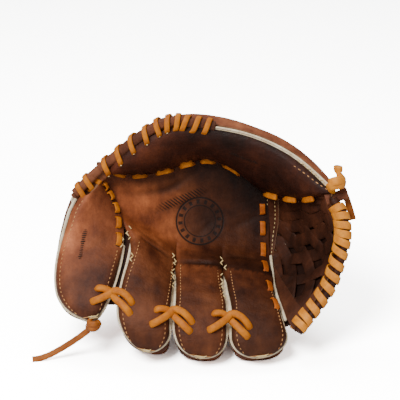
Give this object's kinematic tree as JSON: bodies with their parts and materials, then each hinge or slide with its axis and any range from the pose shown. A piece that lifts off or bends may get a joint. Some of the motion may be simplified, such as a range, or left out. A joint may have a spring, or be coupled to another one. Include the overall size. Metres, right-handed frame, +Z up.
{
  "type": "fielder's glove",
  "caption": "Left-hand leather fielder's glove with four laced finger stalls, padded thumb, closed basket web and wrist strap",
  "frame": {"origin": "centre of the base of the glove's box, at the level it rests on", "axes": "+X from the little finger to the web, along the glove's longest side; +Y from the fingertips to the back of the hand; +Z up"},
  "size_m": [0.2941, 0.1936, 0.2127],
  "materials": {
    "leather": "oiled walnut-brown glove leather, semi-matt",
    "leather_dark": "dark brown glove leather",
    "lace": "golden tan rawhide lace",
    "raw_edge": "pale raw leather welt",
    "felt": "wool felt padding",
    "lining": "soft unfinished lining leather",
    "stiffener": "moulded fibre stiffener",
    "hook_and_loop": "black hook-and-loop tape"
  },
  "bodies": {
    "palm": {"palm_shell": "leather", "palm_pad": "felt", "palm_lining": "lining", "index_web_welt": "raw_edge", "index_web_lace": "lace", "hand_back_shell": "leather", "hand_back_lining": "lining", "ring_front": "leather", "ring_back": "leather", "ring_pad": "felt", "ring_welt": "raw_edge", "middle_front": "leather", "middle_back": "leather", "middle_pad": "felt", "middle_welt": "raw_edge", "index_front": "leather", "index_back": "leather", "index_pad": "felt", "index_welt": "raw_edge", "web_index_panel": "leather_dark", "web_binding": "leather_dark", "web_edge_lace": "lace", "pinky_ring_lace": "lace", "ring_middle_lace": "lace", "middle_index_lace": "lace", "wrist_strap": "leather_dark", "strap_lining": "felt", "strap_patch": "hook_and_loop"},
    "thumb": {"thumb_front": "leather", "thumb_back": "leather", "thumb_pad": "felt", "thumb_stiffener": "stiffener", "heel_pad": "felt", "heel_lining": "lining", "thumb_welt": "raw_edge", "thumb_crease_lace": "lace", "thumb_web_lace": "lace", "heel_roll": "leather", "heel_lace": "lace", "web_thumb_panel": "leather_dark", "web_knot": "lace"},
    "pinky": {"pinky_front": "leather", "pinky_back": "leather", "pinky_pad": "felt", "pinky_stiffener": "stiffener", "pinky_welt": "raw_edge", "pinky_crease_lace": "lace", "pinky_heel_roll": "leather", "pinky_heel_lace": "lace", "tail_knot": "lace", "lace_tail": "lace"},
    "tab": {"strap_tab": "leather_dark"}
  },
  "joints": [
    {"name": "thumb_fold", "type": "hinge", "parent": "palm", "child": "thumb", "pos_m": [-0.0937, 0.0294, 0.152], "axis": [0.9542, 0.1785, -0.2401], "range_deg": [0, 28], "deforming": ["web_binding", "web_edge_lace"]},
    {"name": "pinky_fold", "type": "hinge", "parent": "palm", "child": "pinky", "pos_m": [-0.0997, 0.0294, 0.15], "axis": [-0.1356, 0.6382, 0.7578], "range_deg": [0, 20], "deforming": ["pinky_ring_lace"]},
    {"name": "tab_peel", "type": "hinge", "parent": "palm", "child": "tab", "pos_m": [-0.03556, 0.08693, 0.14995], "axis": [-0.0498, -0.3485, 0.936], "range_deg": [0, 60]}
  ]
}
